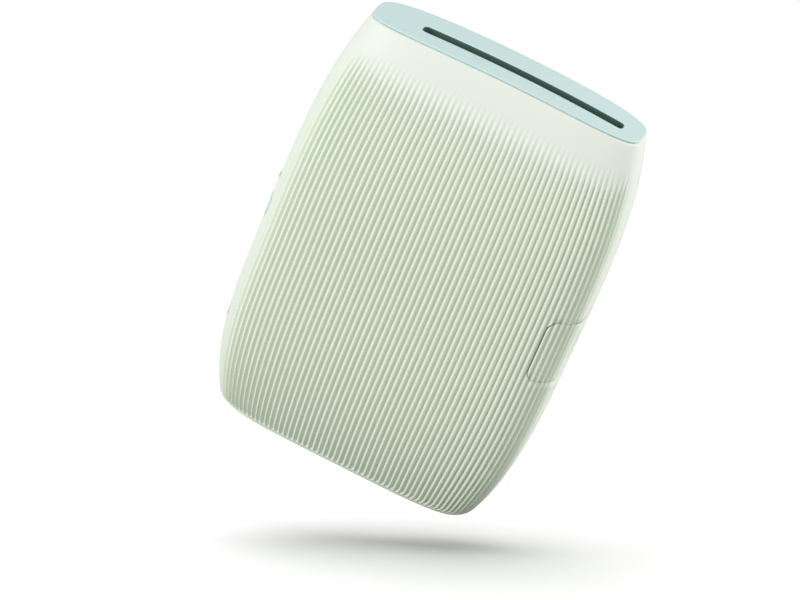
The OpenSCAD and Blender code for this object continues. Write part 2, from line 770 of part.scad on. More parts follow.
module rear_screws() {
    color(steel) for (x = leg_xs) screw_y(x, rear_head_y - screw_head_h, rear_screw_z, rear_screw_l, -1);
}

// ---- film door ----
module film_door() {
    color(white) difference() {
        union() {
            intersection() {
                skin(door_z0 - 3, door_z1 + 3);
                door_room(-seam / 2);
            }
            intersection() {
                for (z = hinge_zs) {
                    rod_z(hinge_seam_r, hinge_x, hinge_y, [z - knuckle_l / 2, z + knuckle_l / 2]);
                    block(
                        [hinge_x, hinge_x + knuckle_arm], [hinge_y, body_d],
                        [z - knuckle_l / 2, z + knuckle_l / 2]
                    );
                }
                barrel(0.05, door_z0, door_z1);
            }
            for (x = leaf_xs, s = [-1, 1])
                block(
                    [x - leaf_w / 2 - 1, x + leaf_w / 2 + 1], [leaf_seat_y, body_d / 2 - wall / 2],
                    [leaf_z + s * leaf_half - leaf_seat_l / 2, leaf_z + s * leaf_half + leaf_seat_l / 2]
                );
        }
        for (z = hinge_zs) rod_z(pin_r + run_gap, hinge_x, hinge_y, [z - knuckle_l, z + knuckle_l]);
        window_room(0);
    }
}
module window_room(grow) {
    rounded_xz(
        [window_x - window_w / 2 - grow, window_x + window_w / 2 + grow], [leaf_seat_y, body_d],
        [window_z - window_h / 2 - grow, window_z + window_h / 2 + grow], window_r
    );
}
module film_window() {
    color(amber) intersection() {
        skin(window_z - window_h / 2 - 3, window_z + window_h / 2 + 3);
        window_room(-window_gap);
    }
}
// The bar that the latch nose holds, on two cheeks that stand on the inside of the door
module door_catch() {
    color(dark) intersection() {
        union() {
            block([catch_x - catch_t, catch_x], catch_y, [cheek_z0, cheek_z1 + cheek_t]);
            for (z = [cheek_z0, cheek_z1])
                block(
                    [catch_x - catch_t, catch_x],
                    [catch_y[0], surface_y(catch_x, latch_mid)],
                    [z, z + cheek_t]
                );
        }
        barrel(wall + seat_gap, door_z0, door_z1);
    }
}
// A leaf spring is a flat parabola, pressed against its two seats
module door_leaf_springs() {
    steps = 12;
    drop = leaf_rise - leaf_t;
    crown = [for (k = [0 : steps]) let (s = -1 + 2 * k / steps) [leaf_top_y + drop * s * s, leaf_z + leaf_half * s]];
    back = [for (k = [steps : -1 : 0]) crown[k] + [leaf_t, 0]];
    color(steel) for (x = leaf_xs)
        translate([x - leaf_w / 2, 0, 0]) rotate([90, 0, 90]) linear_extrude(leaf_w) polygon(concat(crown, back));
}
module door_hinge_pins() {
    reach = knuckle_l / 2 + seam + case_knuckle_l;
    color(steel) for (z = hinge_zs) rod_z(pin_r, hinge_x, hinge_y, [z - reach, z + reach]);
}

// ---- latch ----
module door_latch() {
    color(white) difference() {
        union() {
            intersection() {
                difference() {
                    skin(latch_z0 - 6, latch_z0 + latch_h + 6);
                    block([-body_w, body_w], [split_y - seam / 2, body_d], [0, body_h]);
                }
                latch_room(-latch_gap, -latch_edge_gap);
            }
            rod_z(
                latch_knuckle_r, latch_pin_x, latch_pin_y,
                [latch_z0 + latch_knuckle_in, latch_z0 + latch_h - latch_knuckle_in]
            );
            block(
                [arm_x, surface_x(arm_root_y, latch_mid) - wall + 0.3], [arm_root_y, arm_root_y + nose_t],
                [arm_z0, arm_z0 + arm_h]
            );
            block([arm_x, arm_x + arm_t], [arm_root_y, nose_y + nose_t], [arm_z0, arm_z0 + arm_h]);
            block([nose_x, arm_x + arm_t], [nose_y, nose_y + nose_t], [arm_z0, arm_z0 + arm_h]);
        }
        rod_z(latch_pin_r + run_gap, latch_pin_x, latch_pin_y, [latch_z0 - 1, latch_z0 + latch_h + 1]);
        rod_z(
            latch_knuckle_r + 0.35, latch_pin_x, latch_pin_y,
            [latch_mid - latch_spring_l / 2 - 0.3, latch_mid + latch_spring_l / 2 + 0.3]
        );
        block(
            [surface_x(nail_y, latch_mid) - nail_depth, body_w], [nail_y - nail_w / 2, nail_y + nail_w / 2],
            [latch_mid - nail_l / 2, latch_mid + nail_l / 2]
        );
    }
}
module latch_pin() { color(steel) rod_z(latch_pin_r, latch_pin_x, latch_pin_y, [latch_pin_z0, latch_pin_z1]); }
module latch_spring() {
    color(steel) difference() {
        rod_z(
            latch_knuckle_r, latch_pin_x, latch_pin_y,
            [latch_mid - latch_spring_l / 2, latch_mid + latch_spring_l / 2]
        );
        rod_z(
            latch_pin_r + 0.1, latch_pin_x, latch_pin_y,
            [latch_mid - latch_spring_l, latch_mid + latch_spring_l]
        );
    }
}

// ---- rollers ----
module roller_frame() {
    color(steel) difference() {
        intersection() {
            union() {
                for (x = [[frame_x0, chamber_x0], [chamber_x1, frame_x1]])
                    block(x, [plate_front, tie_y + tie_t], [frame_z1, plate_top]);
                block([frame_x0, frame_x1], [tie_y, tie_y + tie_t], [plate_top - tie_h, plate_top]);
            }
            barrel(wall + inner_gap, frame_z1 - 2, plate_top + 3);
        }
        for (y = [drive_y, pressure_y]) rod_x(bush_r, [frame_x0 - 1, frame_x1 + 1], y, roller_z);
    }
}
module roller_bushes() {
    color(brass) for (y = [drive_y, pressure_y], side = [-1, 1]) {
        plate = side < 0 ? [frame_x0, chamber_x0] : [chamber_x1, frame_x1];
        flange = side < 0 ? [chamber_x0, chamber_x0 + bush_flange_t] : [chamber_x1 - bush_flange_t, chamber_x1];
        difference() {
            union() {
                rod_x(bush_r, plate, y, roller_z);
                rod_x(bush_flange_r, flange, y, roller_z);
            }
            rod_x(shaft_r + run_gap, [frame_x0 - 1, frame_x1 + 1], y, roller_z);
        }
    }
}
module shaft(y) { color(steel) rod_x(shaft_r, [layer_a, frame_x1 + shaft_end], y, roller_z); }
module sleeve(y, tint) {
    color(tint) difference() {
        rod_x(roller_r, [slot_x0, slot_x1], y, roller_z);
        rod_x(shaft_r, [frame_x0, frame_x1], y, roller_z);
    }
}
module roller_gear(y, phase) {
    color(nylon) difference() {
        gear_at([y, roller_z], layer_a, roller_teeth, phase);
        rod_x(shaft_r, [layer_a - 1, layer_a + gear_w + 1], y, roller_z);
    }
}
module drive_shaft() { shaft(drive_y); }
module drive_sleeve() { sleeve(drive_y, rubber); }
module drive_gear() { roller_gear(drive_y, drive_phase); }
module pressure_shaft() { shaft(pressure_y); }
module pressure_sleeve() { sleeve(pressure_y, steel); }
module pressure_gear() { roller_gear(pressure_y, pressure_phase); }

// ---- gear train ----
// A stepped plate: its upper part carries the gears and its lower part the motor
module gear_plate() {
    x = [gear_plate_x, frame_x0];
    color(steel) difference() {
        union() {
            block(x, [motor_at[0] - motor_r + 0.5, tie_y], [motor_at[1] - motor_r - 1, motor_at[1] + motor_r + 1]);
            block(x, [frame_y0, tie_y], [motor_at[1], roller_z - shaft_r - 0.9]);
        }
        for (at = [gear_a_at, gear_b_at]) rod_x(axle_r, [gear_plate_x - 1, frame_x0 + 1], at[0], at[1]);
        rod_x(motor_boss_r + 0.1, [gear_plate_x - 1, frame_x0 + 1], motor_at[0], motor_at[1]);
    }
}
module gear_axles() {
    color(steel) {
        rod_x(axle_r, [layer_c - axle_end, frame_x0], gear_a_at[0], gear_a_at[1]);
        rod_x(axle_r, [layer_b - axle_end, frame_x0], gear_b_at[0], gear_b_at[1]);
    }
}
// A big wheel and a small wheel on one hub that runs on its axle
module compound_gear(at, small_x, small_teeth, small_phase, big_x, big_phase) {
    color(nylon) difference() {
        union() {
            gear_at(at, small_x, small_teeth, small_phase);
            gear_at(at, big_x, big_teeth, big_phase);
            rod_x(gear_m * (small_teeth / 2 - 1.15), [big_x, small_x + gear_w], at[0], at[1]);
        }
        rod_x(axle_r + run_gap, [big_x - 1, small_x + gear_w + 1], at[0], at[1]);
    }
}
module compound_gear_a() { compound_gear(gear_a_at, layer_b, pinion_teeth, gear_a_phase, layer_c, gear_a_big_phase); }
module compound_gear_b() { compound_gear(gear_b_at, layer_a, gear_b_small, gear_b_phase, layer_b, gear_b_big_phase); }
module motor() {
    color(steel) difference() {
        union() {
            rod_x(motor_r, [frame_x0, frame_x0 + motor_l], motor_at[0], motor_at[1]);
            rod_x(motor_boss_r, [gear_plate_x, frame_x0 + fuse], motor_at[0], motor_at[1]);
        }
        rod_x(motor_shaft_r + run_gap, [gear_plate_x - 1, frame_x0 + 6], motor_at[0], motor_at[1]);
    }
}
module motor_shaft() { color(steel) rod_x(motor_shaft_r, [layer_c, frame_x0 + 5], motor_at[0], motor_at[1]); }
module motor_pinion() {
    color(brass) difference() {
        gear_at(motor_at, layer_c, pinion_teeth, pinion_phase);
        rod_x(motor_shaft_r, [layer_c - 1, layer_c + gear_w + 1], motor_at[0], motor_at[1]);
    }
}

// ---- film claw ----
module pick_claw() {
    y = [claw_y - claw_w / 2, claw_y + claw_w / 2];
    slot_half = claw_screw_r + claw_slot_gap;
    color(steel) difference() {
        union() {
            block([claw_x0, claw_x1], y, [claw_z0, claw_z1]);
            block([claw_x0, chamber_x0 + claw_tip], [y[0], y[0] + claw_tip_w], [claw_z0, claw_z0 + claw_tip_h]);
            block([claw_x0 - claw_tab, claw_x1], y, [claw_z1 - claw_tab, claw_z1]);
        }
        for (z = claw_screw_zs) {
            block([claw_x0 - 1, claw_x1 + 1], [claw_y - slot_half, claw_y + slot_half], [z - claw_travel, z]);
            for (end = [z - claw_travel, z]) rod_x(slot_half, [claw_x0 - 1, claw_x1 + 1], claw_y, end);
        }
    }
}
module claw_screws() {
    color(steel) for (z = claw_screw_zs) {
        rod_x(claw_screw_r, [claw_x0 - claw_head_gap - fuse, chamber_x0], claw_y, z);
        rod_x(claw_head_r, [claw_x0 - claw_head_gap - screw_head_h, claw_x0 - claw_head_gap], claw_y, z);
    }
}
module claw_spring() {
    color(steel) difference() {
        rod_z(claw_spring_r, claw_spring_x, claw_y, [claw_z1, claw_post_z]);
        rod_z(claw_spring_r - claw_wire, claw_spring_x, claw_y, [claw_z1 - 1, claw_post_z + 1]);
    }
}

// ---- exposure head ----
module exposure_head() {
    half = head_l / 2;
    color(dark) difference() {
        block(
            [film_x - half, film_x + half],
            [frame_y0 - head_gap - head_d, frame_y0 - head_gap],
            [head_z0, head_z1]
        );
        block(
            [film_x - half + lens_inset, film_x + half - lens_inset], [lens_y0, frame_y0],
            [lens_z1 - lens_w - lens_gap, lens_z1 + lens_gap]
        );
    }
}
module rod_lens() {
    half = head_l / 2 - lens_inset - lens_gap;
    color([0.75, 0.85, 0.9])
        block([film_x - half, film_x + half], [lens_y0, chamber_y + 0.8], [lens_z1 - lens_w, lens_z1]);
}

// ---- electronics ----
module main_board() {
    color(green) difference() {
        block([board_x0, board_x1], [board_y, board_back], [board_z0, board_z1]);
        for (p = board_screw_at) rod_y(screw_r + screw_gap, p[0], [board_y - 1, board_back + 1], p[1]);
        for (p = left_posts) rod_y(post_r + board_notch, p[0], [board_y - 1, board_back + 1], p[1]);
    }
}
module board_parts() {
    color(dark) for (c = chips) block([c[0], c[0] + c[2]], [board_y - chip_t, board_y], [c[1], c[1] + c[3]]);
    color(nylon) {
        block([board_x1 - 6.5, board_x1 - 1.5], [board_y - plug_t, board_y], [lead_z - 2, lead_z + 2]);
        block([motor_lead_x - 2.5, motor_lead_x + 2.5], [board_y - plug_t, board_y], [board_z1 - 5, board_z1 - 1]);
        block(
            [flex_x - flex_w / 2 - 0.3, flex_x + flex_w / 2 + 0.3], [board_back, board_back + chip_t],
            [board_z1 - 4, board_z1]
        );
    }
}
module board_screws() { color(steel) for (p = board_screw_at) screw_y(p[0], board_y, p[1], board_screw_l, 1); }
module battery() {
    color([0.72, 0.73, 0.75]) rounded_xz(
        [battery_x0, battery_x0 + battery_w], [battery_y1 - battery_t, battery_y1],
        [battery_z0, battery_z0 + battery_h], battery_r
    );
}
module battery_tape() {
    color(dark) block(
        [battery_x0 + 3, battery_x0 + battery_w - 3], [battery_y1, frame_y0],
        [battery_z0 + 4, battery_z0 + battery_h - 4]
    );
}
module battery_lead() {
    color(red) for (s = [-1, 1]) rod_x(lead_r, [board_x1 - 1.5, battery_x0], lead_y, lead_z + s * lead_step);
}
module motor_lead() {
    color(red) for (s = [-1, 1])
        rod_z(lead_r, motor_lead_x + s * lead_step, lead_y, [board_z1 - 1, motor_at[1] - motor_r - 0.1]);
}
module head_flex() {
    color([0.85, 0.55, 0.2]) block(
        [flex_x - flex_w / 2, flex_x + flex_w / 2], [board_back + 0.5, board_back + 0.5 + flex_t],
        [board_z1, head_z0]
    );
}
module usb_socket() {
    color(steel) difference() {
        block(
            [usb_mouth, board_x0 + 5],
            [usb_y - usb_t / 2, usb_y + usb_t / 2],
            [usb_z - usb_w / 2, usb_z + usb_w / 2]
        );
        block(
            [usb_mouth - 1, board_x0 + 4], [usb_y - usb_t / 2 + usb_wall, usb_y + usb_t / 2 - usb_wall],
            [usb_z - usb_w / 2 + usb_wall, usb_z + usb_w / 2 - usb_wall]
        );
    }
    color(dark) block([usb_mouth + 1, board_x0 + 4.5], [usb_y - 0.35, usb_y + 0.35], [usb_z - 2.6, usb_z + 2.6]);
}
module tact_switch(z) {
    half = switch_w / 2;
    color(dark) block([board_x0, board_x0 + switch_l], [board_back, board_back + switch_t], [z - half, z + half]);
    color(nylon) rod_x(0.9, [board_x0 - switch_tip, board_x0 + fuse], control_y, z);
}
module power_switch() { tact_switch(power_z); }
module reset_switch() { tact_switch(reset_z); }
// Place of a flange of radius r just inside the shell
function inside_x(r, z) = 0.3 - inner_x(abs(control_y) + r, z);
module power_button() {
    flange_x = inside_x(power_r + button_flange, power_z);
    color(mint) {
        intersection() {
            skin(power_z - power_r - 3, power_z + power_r + 3);
            rod_x(power_r, [-body_w, 0], control_y, power_z);
        }
        rod_x(power_r - 0.3, [-surface_x(control_y, power_z) + wall - 0.6, flange_x + fuse], control_y, power_z);
        rod_x(power_r + button_flange, [flange_x, flange_x + button_flange_t], control_y, power_z);
        rod_x(1, [flange_x, board_x0 - switch_tip - power_travel - press_gap], control_y, power_z);
    }
}
module reset_button() {
    flange_x = inside_x(reset_r + button_flange, reset_z);
    color(dark) {
        rod_x(reset_r - button_gap, [-surface_x(control_y, reset_z) + 0.8, flange_x + fuse], control_y, reset_z);
        rod_x(reset_r + button_flange, [flange_x, flange_x + button_flange_t], control_y, reset_z);
        rod_x(reset_r, [flange_x, board_x0 - switch_tip - reset_travel - press_gap], control_y, reset_z);
    }
}
module status_led() {
    color(nylon) block([board_x0, board_x0 + 2.4], [board_back, board_back + 3.2], [light_z - 1.6, light_z + 1.6]);
}
module light_pipe() {
    color([0.95, 0.97, 1]) rod_x(light_r, [-surface_x(control_y, light_z) + 0.1, board_x0 - 0.1], control_y, light_z);
}

front_housing();
rear_housing();
base_cover();
top_cap();
slot_seal();
chassis();
light_seal();
housing_screws();
base_screws();
rear_screws();
film_door();
film_window();
door_catch();
door_leaf_springs();
door_hinge_pins();
door_latch();
latch_pin();
latch_spring();
roller_frame();
roller_bushes();
drive_shaft();
drive_sleeve();
drive_gear();
pressure_shaft();
pressure_sleeve();
pressure_gear();
gear_plate();
gear_axles();
compound_gear_a();
compound_gear_b();
motor();
motor_shaft();
motor_pinion();
pick_claw();
claw_screws();
claw_spring();
exposure_head();
rod_lens();
main_board();
board_parts();
board_screws();
battery();
battery_tape();
battery_lead();
motor_lead();
head_flex();
usb_socket();
power_button();
power_switch();
reset_button();
reset_switch();
status_led();
light_pipe();
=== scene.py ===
# %% [markdown]
# A compact photo printer, dressed for a picture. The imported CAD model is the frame: it brings every piece
# in place, in metres, with its moving bodies. What is left to do here is what a CAD solid leaves out,
# namely the ribbed skin, the softened edges, the finishes, the light and the camera. MM turns millimetres
# into metres, and points that are nearer than tiny count as one.

# %% The frame
import json
import math

import bmesh
import bpy
import numpy as np
from mathutils import Matrix, Vector


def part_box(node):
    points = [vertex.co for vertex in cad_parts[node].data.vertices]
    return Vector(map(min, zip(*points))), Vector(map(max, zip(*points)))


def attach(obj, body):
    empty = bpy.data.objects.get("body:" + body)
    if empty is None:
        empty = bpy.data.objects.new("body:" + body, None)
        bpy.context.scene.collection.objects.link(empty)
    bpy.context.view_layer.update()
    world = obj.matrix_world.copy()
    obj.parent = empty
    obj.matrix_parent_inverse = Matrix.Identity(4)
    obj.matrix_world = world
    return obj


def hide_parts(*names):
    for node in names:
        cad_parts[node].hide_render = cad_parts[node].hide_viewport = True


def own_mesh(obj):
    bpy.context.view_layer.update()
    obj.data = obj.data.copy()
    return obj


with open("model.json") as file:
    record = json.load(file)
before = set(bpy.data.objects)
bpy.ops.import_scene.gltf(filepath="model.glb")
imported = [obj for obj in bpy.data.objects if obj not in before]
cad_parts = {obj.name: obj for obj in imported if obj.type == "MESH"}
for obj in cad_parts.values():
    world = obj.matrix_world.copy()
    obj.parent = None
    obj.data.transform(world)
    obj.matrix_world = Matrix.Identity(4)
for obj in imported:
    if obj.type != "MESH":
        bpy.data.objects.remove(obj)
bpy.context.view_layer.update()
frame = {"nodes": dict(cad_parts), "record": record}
scene = bpy.context.scene
MM = 0.001
tiny = 1e-7

# %% [markdown]
# The camera stands in front of the printer, above it, and is rolled, so that the printer leans over in the
# picture. A long lens keeps its sides nearly parallel. The camera could be set with a target and a roll
# angle. Three axes are shorter and say exactly the same, and the lamps and the floor are placed along them
# later.

# %% The camera
camera_right = Vector((0.890729, 0.285433, 0.353738))
camera_up = Vector((-0.441937, 0.361882, 0.820813))
camera_back = camera_right.cross(camera_up).normalized()
camera_place = Vector((0.108086, -0.925749, 0.517455))
camera_data = bpy.data.cameras.new("photo_camera")
camera_data.sensor_width = 36
camera_data.lens = 175.07
camera = bpy.data.objects.new("photo_camera", camera_data)
scene.collection.objects.link(camera)
camera_turn = Matrix((camera_right, camera_up, camera_back)).transposed().to_4x4()
camera.matrix_world = Matrix.Translation(camera_place) @ camera_turn
scene.camera = camera
print("camera looks along", [round(c, 4) for c in -camera_back])

# %% [markdown]
# The whole case is one soft barrel: widest near its middle, narrower at both ends, with a section between
# an oval and a rectangle (a superellipse of power 4). The CAD model builds it from flat facets. The skin in
# the picture comes from the same few sizes, but finely enough to look curved, and it lies a sixth of a
# millimetre further in, where the deepest facet is.

# %% The barrel's sizes, in millimetres
height = 125.0
waist = 57.4
body_half = (45.0, 18.0)
top_half = (38.8, 10.4)
base_half = (36.9, 10.2)
base_round = (5.0, 3.5)
narrowing_power = 3.6
corner_power = 4
arch_drop = 1.5
facet_depth = 0.16
cap_seam = 124.3
base_seam = 2.1


def half_size(level, side):
    """Half the width (side 0) or depth (side 1) of the barrel at a level above the base."""
    if level > waist:
        away, end = (level - waist) / (height - waist), top_half[side]
    else:
        away, end = (waist - level) / waist, base_half[side]
    below = min(1.0, max(0.0, base_round[side] - level) / base_round[side])
    rounding = base_round[side] * (1 - math.sqrt(1 - below * below))
    return body_half[side] - (body_half[side] - end) * away ** narrowing_power - rounding


for place_name, level in (("base", base_round[0]), ("waist", waist), ("top", height)):
    print(place_name, "width and depth, mm:", [round(2 * half_size(level, side), 2) for side in (0, 1)])

# %% [markdown]
# A point on a section is given by the share of the arc from the middle of the front: 0 there, -1 at the
# left end and 1 at the right end. At one level, equal shares keep the ribs equally wide all the way round
# the front, as they are on the real shell.


# %% A section at equal shares of its arc
arc_points = 2401


def section(level, shares, back, inset):
    """x, y and the outward direction of points on the front or back half of the barrel's section."""
    wide = half_size(level, 0) - inset
    deep = half_size(level, 1) - inset
    angle = np.linspace(-math.pi, 0, arc_points)
    spread = (np.cos(angle) ** corner_power + np.sin(angle) ** corner_power) ** (-1 / corner_power)
    x = wide * np.cos(angle) * spread
    y = deep * np.sin(angle) * spread
    arc = np.concatenate(([0], np.cumsum(np.hypot(np.diff(x), np.diff(y)))))
    at = (np.asarray(shares) + 1) / 2 * arc[-1]
    x, y = np.interp(at, arc, x), np.interp(at, arc, y)
    slope_power = corner_power - 1
    out_x, out_y = (x / wide) ** slope_power / wide, (y / deep) ** slope_power / deep
    length = np.hypot(out_x, out_y)
    turn = -1 if back else 1
    return x, y * turn, out_x / length, out_y / length * turn


middle = section(waist, [0.0], False, 0.0)
print("the middle of the front at the waist, mm:", [round(float(value[0]), 2) for value in middle[:2]])

# %% [markdown]
# The front is covered with upright ribs, 1.65 mm apart at the waist. They lie closer together where the
# barrel narrows, but less than the barrel itself does. They run down to the base, end in soft tips below
# the smooth top band, and fade out before the sides. The grooves could be a bump in the material, but then
# the edges of the shell would stay straight, so they are real geometry: a cosine wave cut into the skin.

# %% The ribs
rib_pitch = 0.0292
first_ridge = 0.0126
rib_depth = 0.9
columns_per_rib = 10
rib_foot = (2.2, 3.2)
rib_tips = (107.5, 117.5)
left_fade = (-0.80, -0.68)
right_fade = (0.80, 0.865)
base_spread, base_spread_power = 0.25, 5
top_spread, top_spread_power = 0.2, 6


def ease(low, high, value):
    """0 below low, 1 above high, and a smooth rise between."""
    share = min(1.0, max(0.0, (value - low) / (high - low)))
    return share * share * (3 - 2 * share)


def rib_strength(share, level):
    """How deep the ribs are at a point of the front, from 0 to 1."""
    ends = ease(*rib_foot, level) * (1 - ease(*rib_tips, level))
    sides = ease(*left_fade, share) * (1 - ease(*right_fade, share))
    return ends * sides


def spread_ribs(share, level):
    """The share at which a column of the front stands, a little further out near the barrel's ends."""
    if level > waist:
        amount = top_spread * ((level - waist) / (height - waist)) ** top_spread_power
    else:
        amount = base_spread * ((waist - level) / waist) ** base_spread_power
    return share + amount * share * (1 - share * share)


def groove(share, level):
    """The depth of the groove at a point of the front, in millimetres."""
    wave = 0.5 - 0.5 * math.cos(2 * math.pi * (share - first_ridge) / rib_pitch)
    return rib_depth * rib_strength(share, level) * wave


print("ribs:", round((right_fade[1] - left_fade[0]) / rib_pitch), "deepest groove, mm:", rib_depth)

# %% [markdown]
# A skin is a flat grid that is wrapped round the barrel: its columns go round, its rows go up. One operator
# makes the grid, each vertex is moved to its place, and the doubles along the closing line are merged. At
# both seams the skin draws in a little, which gives the edges of the case parts the small rounding that
# moulded parts have.


# %% A skin from a wrapped grid
def wrapped_grid(name, columns, rows, place):
    """A closed mesh from a grid: place(column, row) is the point in millimetres. Open ends are filled."""
    bm = bmesh.new()
    bmesh.ops.create_grid(bm, x_segments=columns, y_segments=rows, size=0.5)
    for vert in bm.verts:
        column = round((vert.co.x + 0.5) * columns)
        row = round((vert.co.y + 0.5) * rows)
        vert.co = Vector(place(column, row)) * MM
    bmesh.ops.remove_doubles(bm, verts=bm.verts, dist=2 * tiny)
    bmesh.ops.dissolve_degenerate(bm, edges=bm.edges, dist=tiny)
    rims = [edge for edge in bm.edges if edge.is_boundary]
    if rims:
        bmesh.ops.edgeloop_fill(bm, edges=rims)
    bmesh.ops.recalc_face_normals(bm, faces=bm.faces)
    mesh = bpy.data.meshes.new(name)
    bm.to_mesh(mesh)
    bm.free()
    return mesh


seam_half_gap = 0.1
seam_draw = 0.3
seam_reach = 0.22
seam_power = 1.6


def seam_rounding(level):
    """How far the skin draws in at the seams of the cap and the base."""
    gap = max(0.0, min(abs(level - cap_seam), abs(level - base_seam)) - seam_half_gap)
    return seam_draw * max(0.0, 1 - gap / seam_reach) ** seam_power


def arched(x, level):
    """The height of a point: the levels sag towards the sides, more so near the top."""
    return level - arch_drop * (x / top_half[0]) ** 2 * level / height


def skin(name, front, back, rows, ribbed):
    """A closed barrel. front and back are shares of the arc; a row is level, inset, share of the depth."""
    points = []
    for level, inset, depth_share in rows:
        inset = inset + facet_depth + seam_rounding(level)
        ring = []
        for half, shares in ((False, front), (True, back[::-1][1:])):
            placed = [spread_ribs(s, level) for s in shares] if ribbed and not half else shares
            x, y, out_x, out_y = section(level, placed, half, inset)
            cut = [groove(s, level) if ribbed and not half else 0.0 for s in shares]
            for i in range(len(shares)):
                px, py = x[i] - cut[i] * out_x[i], y[i] - cut[i] * out_y[i]
                ring.append((px, py * depth_share, arched(px, level)))
        points.append(ring)
    return wrapped_grid(name, len(points[0]) - 1, len(rows) - 1, lambda column, row: points[row][column])


def steps(start, end, count):
    """count + 1 numbers from start to end."""
    return [start + (end - start) * i / count for i in range(count + 1)]


print("the seams draw in by up to, mm:", seam_draw)

# %% [markdown]
# The front's skin carries the ribs. Its columns follow them, ten to a rib, so that every ridge has a column
# of its own, and the plain flanks and the back need far fewer. Its rows lie close together only at the
# seams and where the ribs end.

# %% The ribbed skin
rib_step = rib_pitch / columns_per_rib
first_column, last_column = -285, 296
flank_ends = (-0.83, 0.88)
ridge_shares = [first_ridge + rib_step * i for i in range(first_column, last_column + 1)]
left_flank, right_flank = steps(-1, flank_ends[0], 24)[:-1], steps(flank_ends[1], 1, 18)[1:]
ribbed_front = left_flank + ridge_shares + right_flank
plain_back = steps(-1, 1, 60)
seam_rows = [123.6, 124.0, 124.06, 124.12, 124.16, 124.2, 124.3]
ribbed_levels = [0, 1.4, 2.1, 2.2, 2.26, 2.34, 2.45, 2.6, 3, 3.4, 3.8, 4.3, 4.8, 5.4, 6, 7, 8.5]
ribbed_levels += steps(10.5, 106.5, 38) + steps(*rib_tips, 10)
ribbed_levels += [119, 120.5, 121.8, 122.8] + seam_rows + [127]
rows = [(level, 0, 1) for level in ribbed_levels]
ribbed_skin = skin("ribbed_skin", ribbed_front, plain_back, rows, True)
print("ribbed skin:", len(ribbed_skin.polygons), "faces")

# %% [markdown]
# The smooth skin is for all the other case parts. It is closed by the flat base below, and above by the
# lid, whose rim is a quarter of a small circle. The rows go on across the base and the lid as rings that
# shrink in depth.

# %% The smooth skin, with the rounded rim of the cap on top
rim_round = 0.22
lid_drop = 0.03
smooth_shares = steps(-1, 1, 240)
rows = [(0, 0, share) for share in steps(0, 1, 6)[:-1]]
smooth_levels = [0, 0.03, 0.1, 0.2, 0.35, 0.55, 0.8, 1.1, 1.4, 1.7, 1.86, 1.95, 2.0, 2.1, 2.2, 2.26]
smooth_levels += [2.34, 2.45, 2.7, 3.2, 3.8, 4.4, 5, 6, 8] + steps(10.5, 118, 43)
smooth_levels += [119.5, 121, 122, 123] + seam_rows + [124.4, 124.44, 124.48, 124.56]
rows += [(level, 0, 1) for level in smooth_levels]
for turn in steps(0, 90, 6):
    rise = math.sin(math.radians(turn))
    inward = 1 - math.cos(math.radians(turn))
    rows.append((height - lid_drop - rim_round + rim_round * rise, rim_round * inward, 1))
rows += [(height - lid_drop, rim_round, share) for share in steps(1, 0, 12)[1:]]
smooth_skin = skin("smooth_skin", smooth_shares, smooth_shares, rows, False)
print("smooth skin:", len(smooth_skin.polygons), "faces")

# %% [markdown]
# Each case part keeps everything that the CAD model gives it: walls, posts, screw seats, hinge knuckles and
# openings. Only its outside changes. So a copy of the CAD mesh is merged into a closed solid and
# intersected with the skin. The Boolean modifier is applied at once, and what shows is one clean mesh.


# %% Cutting a copy of a CAD part with a skin
def merged_copy(node):
    """A copy of a CAD node's mesh with its loose triangles joined."""
    bm = bmesh.new()
    bm.from_mesh(frame["nodes"][node].data)
    bmesh.ops.remove_doubles(bm, verts=bm.verts, dist=tiny)
    open_edges = sum(1 for edge in bm.edges if not edge.is_manifold)
    mesh = bpy.data.meshes.new(node + "_copy")
    bm.to_mesh(mesh)
    bm.free()
    if open_edges:
        print(node, "copy has", open_edges, "open edges")
    return mesh


def combined(name, mesh, tool, operation):
    """mesh and tool put together by a Boolean modifier, as a new mesh."""
    work = bpy.data.objects.new(name, mesh)
    other = bpy.data.objects.new(name + "_tool", tool)
    scene.collection.objects.link(work)
    scene.collection.objects.link(other)
    cut = work.modifiers.new("cut", "BOOLEAN")
    cut.operation, cut.solver, cut.object = operation, "MANIFOLD", other
    bpy.context.view_layer.update()
    depsgraph = bpy.context.evaluated_depsgraph_get()
    result = bpy.data.meshes.new_from_object(work.evaluated_get(depsgraph))
    bpy.data.objects.remove(work)
    bpy.data.objects.remove(other)
    return result


def finished(name, mesh, sharp=42):
    """An object at the origin, shaded smooth but for edges that turn by more than the sharp angle."""
    bm = bmesh.new()
    bm.from_mesh(mesh)
    bmesh.ops.remove_doubles(bm, verts=bm.verts, dist=5 * tiny)
    bmesh.ops.dissolve_degenerate(bm, edges=bm.edges, dist=2 * tiny)
    bm.to_mesh(mesh)
    open_edges = sum(1 for edge in bm.edges if not edge.is_manifold)
    bm.free()
    mesh.name = name
    mesh.shade_smooth()
    mesh.set_sharp_from_angle(angle=math.radians(sharp))
    piece = bpy.data.objects.new(name, mesh)
    scene.collection.objects.link(piece)
    triangles = sum(len(face.vertices) - 2 for face in mesh.polygons)
    print(name, "triangles:", triangles, "open edges:", open_edges)
    return piece


# %% [markdown]
# The lid carries the picture slot. On the real part its rim is softened so that a print slides over it. A
# loft of rounded outlines, wider at the top than below, cuts that flare along the arch of the lid.

# %% The flare of the slot
slot_ends = (-25.1, 32.9)
slot_sides = (-3.3, 0.7)
slot_corner = 1.2
corner_steps = 8
side_steps = 30


